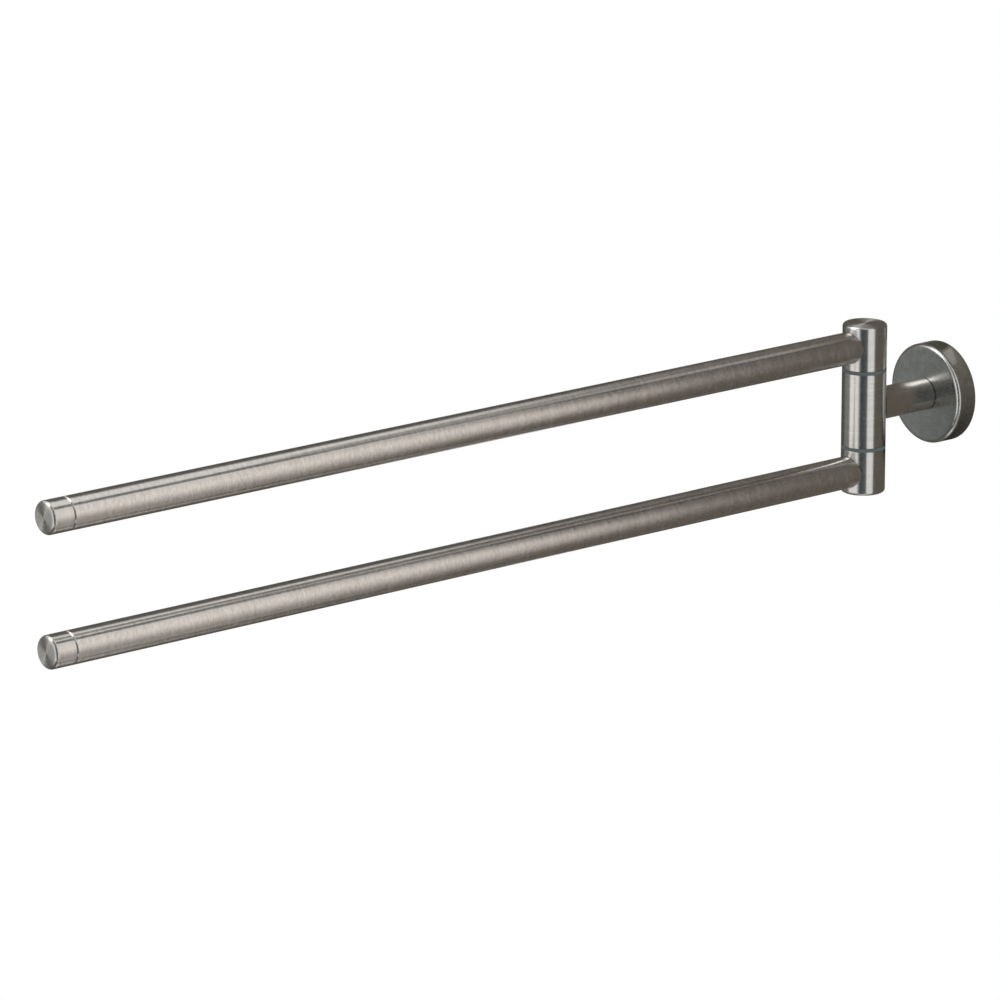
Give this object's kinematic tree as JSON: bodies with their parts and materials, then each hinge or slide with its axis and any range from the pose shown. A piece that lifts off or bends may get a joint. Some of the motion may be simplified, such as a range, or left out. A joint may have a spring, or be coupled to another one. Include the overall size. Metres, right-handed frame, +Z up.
{
  "type": "double towel rail",
  "caption": "Swivelling towel rail for a wall: straight brushed-steel tubes with turned end caps swing independently on an upright hub, which a short stem carries on a round rosette.",
  "frame": {"origin": "centre of the rosette's back face, on the wall, midway between the wall screws", "axes": "+Z up, +Y into the wall, rails reach out along -Y at rest, +X to the right when facing the wall"},
  "size_m": [0.05, 0.548, 0.0856],
  "materials": {
    "brushed_steel": "stainless tube, brushed round its axis",
    "hub_steel": "stainless bar, finely brushed round its axis",
    "turned_steel": "stainless bar, with concentric turning marks on its flat face",
    "plain_steel": "plain bright steel, hidden in use",
    "bush_plastic": "grey bearing plastic"
  },
  "bodies": {
    "wall_mount": {"wall_plate": "plain_steel", "rosette": "turned_steel", "rosette_grub_screw": "plain_steel", "stem_tube": "brushed_steel", "stem_bolt": "plain_steel", "stem_bolt_washer": "plain_steel", "hub_body": "hub_steel", "upper_bush": "bush_plastic", "lower_bush": "bush_plastic"},
    "upper_arm": {"upper_hub": "hub_steel", "upper_rail": "brushed_steel", "upper_rail_plug": "plain_steel", "upper_rail_stud": "plain_steel", "upper_end_cap": "turned_steel", "pivot_bolt": "plain_steel"},
    "lower_arm": {"lower_hub": "hub_steel", "lower_sleeve": "bush_plastic", "lower_rail": "brushed_steel", "lower_rail_plug": "plain_steel", "lower_rail_stud": "plain_steel", "lower_end_cap": "turned_steel", "thrust_washer": "plain_steel", "upper_disc_spring": "plain_steel", "lower_disc_spring": "plain_steel", "bottom_cap": "bush_plastic"}
  },
  "joints": [
    {"name": "upper_rail_swivel", "type": "hinge", "parent": "wall_mount", "child": "upper_arm", "pos_m": [0, -0.052, 0], "axis": [0, 0, 1], "range_deg": [-90, 90]},
    {"name": "lower_rail_swivel", "type": "hinge", "parent": "wall_mount", "child": "lower_arm", "pos_m": [0, -0.052, 0], "axis": [0, 0, 1], "range_deg": [-90, 90]}
  ]
}
